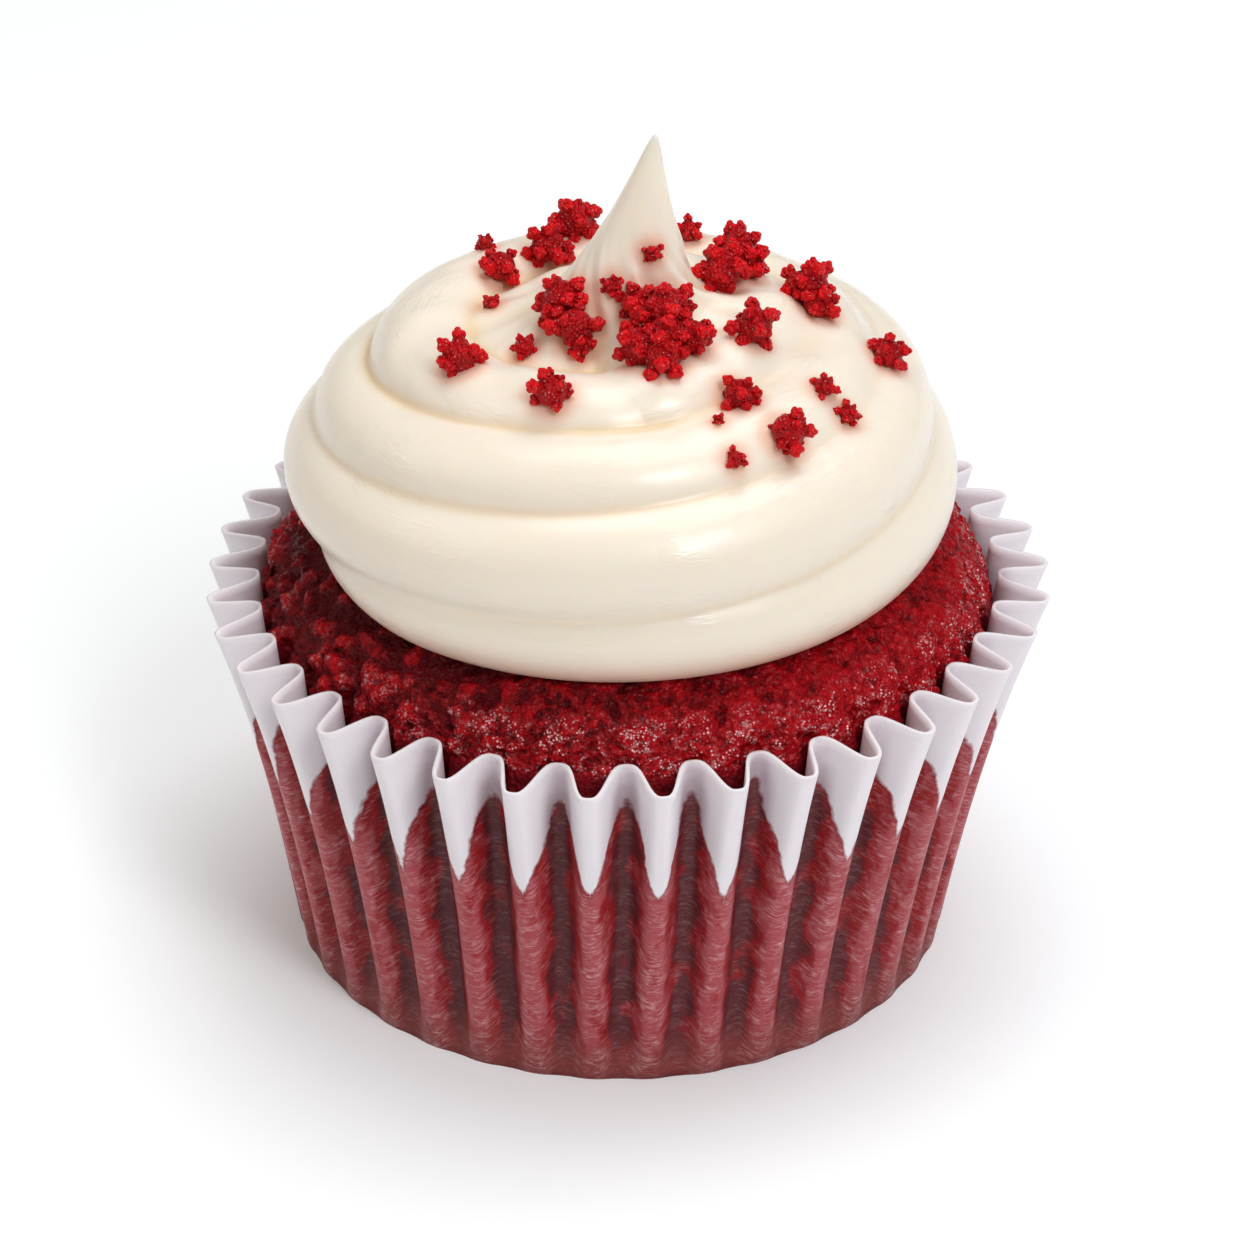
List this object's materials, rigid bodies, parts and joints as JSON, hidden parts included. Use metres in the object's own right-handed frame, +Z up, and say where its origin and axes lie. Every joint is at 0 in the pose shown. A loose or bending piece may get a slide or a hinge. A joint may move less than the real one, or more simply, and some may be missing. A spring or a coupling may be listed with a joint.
{
  "type": "cupcake",
  "caption": "Red velvet cupcake in a fluted paper case, topped with a piped spiral of cream cheese frosting drawn up to a leaning peak and scattered with red cake crumbs.",
  "frame": {"origin": "middle of the paper case's flat base, on the surface that it stands on", "axes": "+Z up along the peak, -Y towards the front, where the rope of frosting starts, +X to the right"},
  "size_m": [0.0737, 0.0738, 0.076],
  "materials": {
    "paper": "greaseproof baking paper, satin white at the rim and stained red where the sponge touches it",
    "sponge": "moist deep red baked crumb, stands for food",
    "frosting": "smooth off-white cream cheese frosting with a soft gloss, stands for food, with the same red crumb scattered on it"
  },
  "bodies": {
    "root": {"paper_case": "paper", "cake": "sponge", "frosting": "frosting"}
  },
  "joints": []
}
